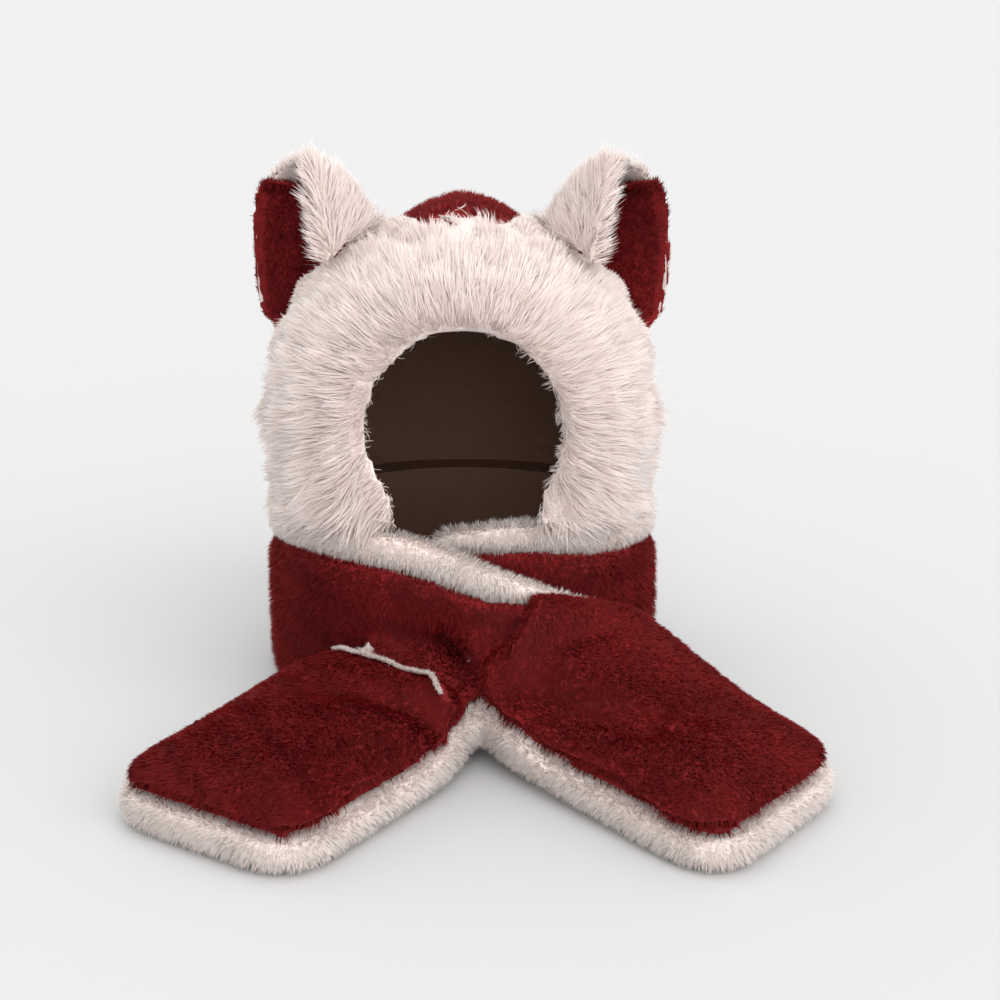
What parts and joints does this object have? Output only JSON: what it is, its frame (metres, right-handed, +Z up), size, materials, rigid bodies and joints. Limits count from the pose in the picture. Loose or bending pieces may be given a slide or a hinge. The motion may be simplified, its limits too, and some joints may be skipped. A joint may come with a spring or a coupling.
{
  "type": "hooded scarf",
  "caption": "Plush hood with a deep fur ruff and cupped animal ears, joined to a wide scarf that wraps the neck, crosses in front and ends in padded hand pockets",
  "frame": {"origin": "middle of the whole outline, on the surface the scarf rests on", "axes": "+Z up, the face opening looks along -Y, +X is the viewer's right"},
  "size_m": [0.4312, 0.4694, 0.37],
  "materials": {
    "red_plush": "short velvety plush",
    "cream_fur": "long soft faux fur",
    "cream_plush": "short dense plush",
    "brown_lining": "matte knitted lining"
  },
  "bodies": {
    "root": {"hood_crown": "red_plush", "hood_lining": "brown_lining", "face_ruff": "cream_fur", "left_ear": "cream_fur", "right_ear": "cream_fur", "left_ear_inner": "red_plush", "right_ear_inner": "red_plush", "scarf_outer": "red_plush", "scarf_lining": "cream_plush", "left_pocket": "red_plush", "right_pocket": "red_plush"}
  },
  "joints": []
}
